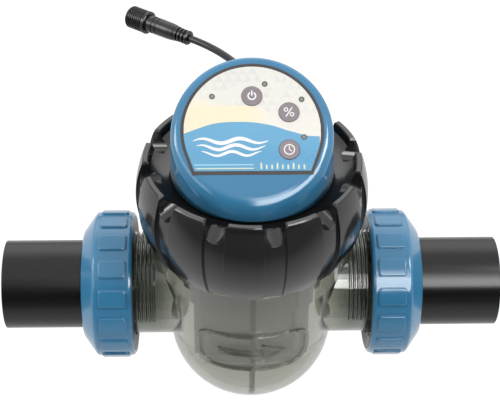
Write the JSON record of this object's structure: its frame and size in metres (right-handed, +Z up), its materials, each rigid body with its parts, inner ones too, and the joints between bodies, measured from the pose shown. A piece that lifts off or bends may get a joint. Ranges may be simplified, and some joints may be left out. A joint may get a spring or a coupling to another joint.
{
  "type": "salt chlorine generator",
  "caption": "Inline salt chlorine generator: clear flow cell with electrode pack, castellated lock ring, tilted control head with keys, two pipe unions and a plug-ended cable.",
  "frame": {"origin": "centre of the inlet tail open end face, on the pipe axis", "axes": "+X along the flow from inlet to outlet, +Z up through the control head, -Y towards the face the user reads"},
  "size_m": [0.278, 0.2029, 0.2092],
  "materials": {
    "clear_housing": "clear smoke-green moulded plastic",
    "black_ring": "satin gloss",
    "black_cap": "moulded",
    "seal_rubber": "smooth",
    "blue_plastic": "gloss",
    "stainless": "brushed",
    "label_film": "printed film",
    "button_plastic": "satin",
    "clear_lens": "frosted",
    "board_green": "solder mask",
    "led_white": "gloss",
    "header_white": "moulded",
    "titanium_coated": "mixed oxide coating",
    "titanium_plain": "brushed",
    "comb_plastic": "natural",
    "wire_sleeve": "smooth",
    "black_pipe": "extruded satin",
    "cable_black": "smooth",
    "connector_black": "moulded",
    "contact_metal": "plated"
  },
  "bodies": {
    "vessel": {"cell_housing": "clear_housing", "inlet_oring": "seal_rubber", "outlet_oring": "seal_rubber"},
    "head": {"cell_cap": "black_cap", "cap_oring": "seal_rubber", "head_gasket": "seal_rubber", "head_cover": "blue_plastic", "base_plate": "black_cap", "base_screws": "stainless", "control_label": "label_film", "indicator_lenses": "clear_lens", "circuit_board": "board_green", "tact_switches": "black_cap", "status_leds": "led_white", "board_screws": "stainless", "board_header": "header_white", "anode_plates": "titanium_coated", "cathode_plates": "titanium_plain", "anode_terminal": "titanium_plain", "cathode_terminal": "titanium_plain", "upper_comb": "comb_plastic", "lower_comb": "comb_plastic", "tie_rods": "comb_plastic", "rod_nuts": "stainless", "terminal_nuts": "stainless", "terminal_washers": "stainless", "terminal_seals": "seal_rubber", "lead_wires": "wire_sleeve", "cable_gland": "cable_black", "supply_cable": "cable_black", "strain_relief": "cable_black", "connector_body": "connector_black", "threaded_shell": "connector_black", "connector_insert": "connector_black", "contact_pins": "contact_metal", "connector_seal": "seal_rubber"},
    "ring": {"lock_ring": "black_ring"},
    "inlet_union_tail": {"inlet_tail": "black_pipe"},
    "inlet_union_nut": {"inlet_nut": "blue_plastic"},
    "outlet_union_tail": {"outlet_tail": "black_pipe"},
    "outlet_union_nut": {"outlet_nut": "blue_plastic"},
    "power_key": {"power_button": "button_plastic"},
    "output_key": {"output_button": "button_plastic"},
    "timer_key": {"timer_button": "button_plastic"}
  },
  "joints": [
    {"name": "cell_lift", "type": "slide", "parent": "vessel", "child": "head", "axis": [0, 0, 1], "range_m": [0, 0.02]},
    {"name": "lock_ring_turn", "type": "hinge", "parent": "head", "child": "ring", "pos_m": [0.139, 0, 0.065], "axis": [0, 0, 1], "range_deg": [0, 1800.5]},
    {"name": "inlet_union_back_off", "type": "slide", "parent": "vessel", "child": "inlet_union_tail", "axis": [-1, 0, 0], "range_m": [0, 0.01616]},
    {"name": "inlet_nut_turn", "type": "hinge", "parent": "inlet_union_tail", "child": "inlet_union_nut", "pos_m": [0.06, 0, 0], "axis": [-1, 0, 0], "range_deg": [0, 2520.5]},
    {"name": "outlet_union_back_off", "type": "slide", "parent": "vessel", "child": "outlet_union_tail", "axis": [1, 0, 0], "range_m": [0, 0.01616]},
    {"name": "outlet_nut_turn", "type": "hinge", "parent": "outlet_union_tail", "child": "outlet_union_nut", "pos_m": [0.218, 0, 0], "axis": [1, 0, 0], "range_deg": [0, 2520.5]},
    {"name": "power_button_press", "type": "slide", "parent": "head", "child": "power_key", "axis": [0, 0.5621, -0.8271], "range_m": [0, 0.0006], "stiffness_N_per_m": 600},
    {"name": "output_button_press", "type": "slide", "parent": "head", "child": "output_key", "axis": [0, 0.5621, -0.8271], "range_m": [0, 0.0006], "stiffness_N_per_m": 600},
    {"name": "timer_button_press", "type": "slide", "parent": "head", "child": "timer_key", "axis": [0, 0.5621, -0.8271], "range_m": [0, 0.0006], "stiffness_N_per_m": 600}
  ],
  "couplings": [
    {"joint": "lock_ring_turn", "follows": "cell_lift", "rad_per_m": 1570.8},
    {"joint": "inlet_nut_turn", "follows": "inlet_union_back_off", "rad_per_m": 2721.2},
    {"joint": "outlet_nut_turn", "follows": "outlet_union_back_off", "rad_per_m": 2721.2}
  ]
}
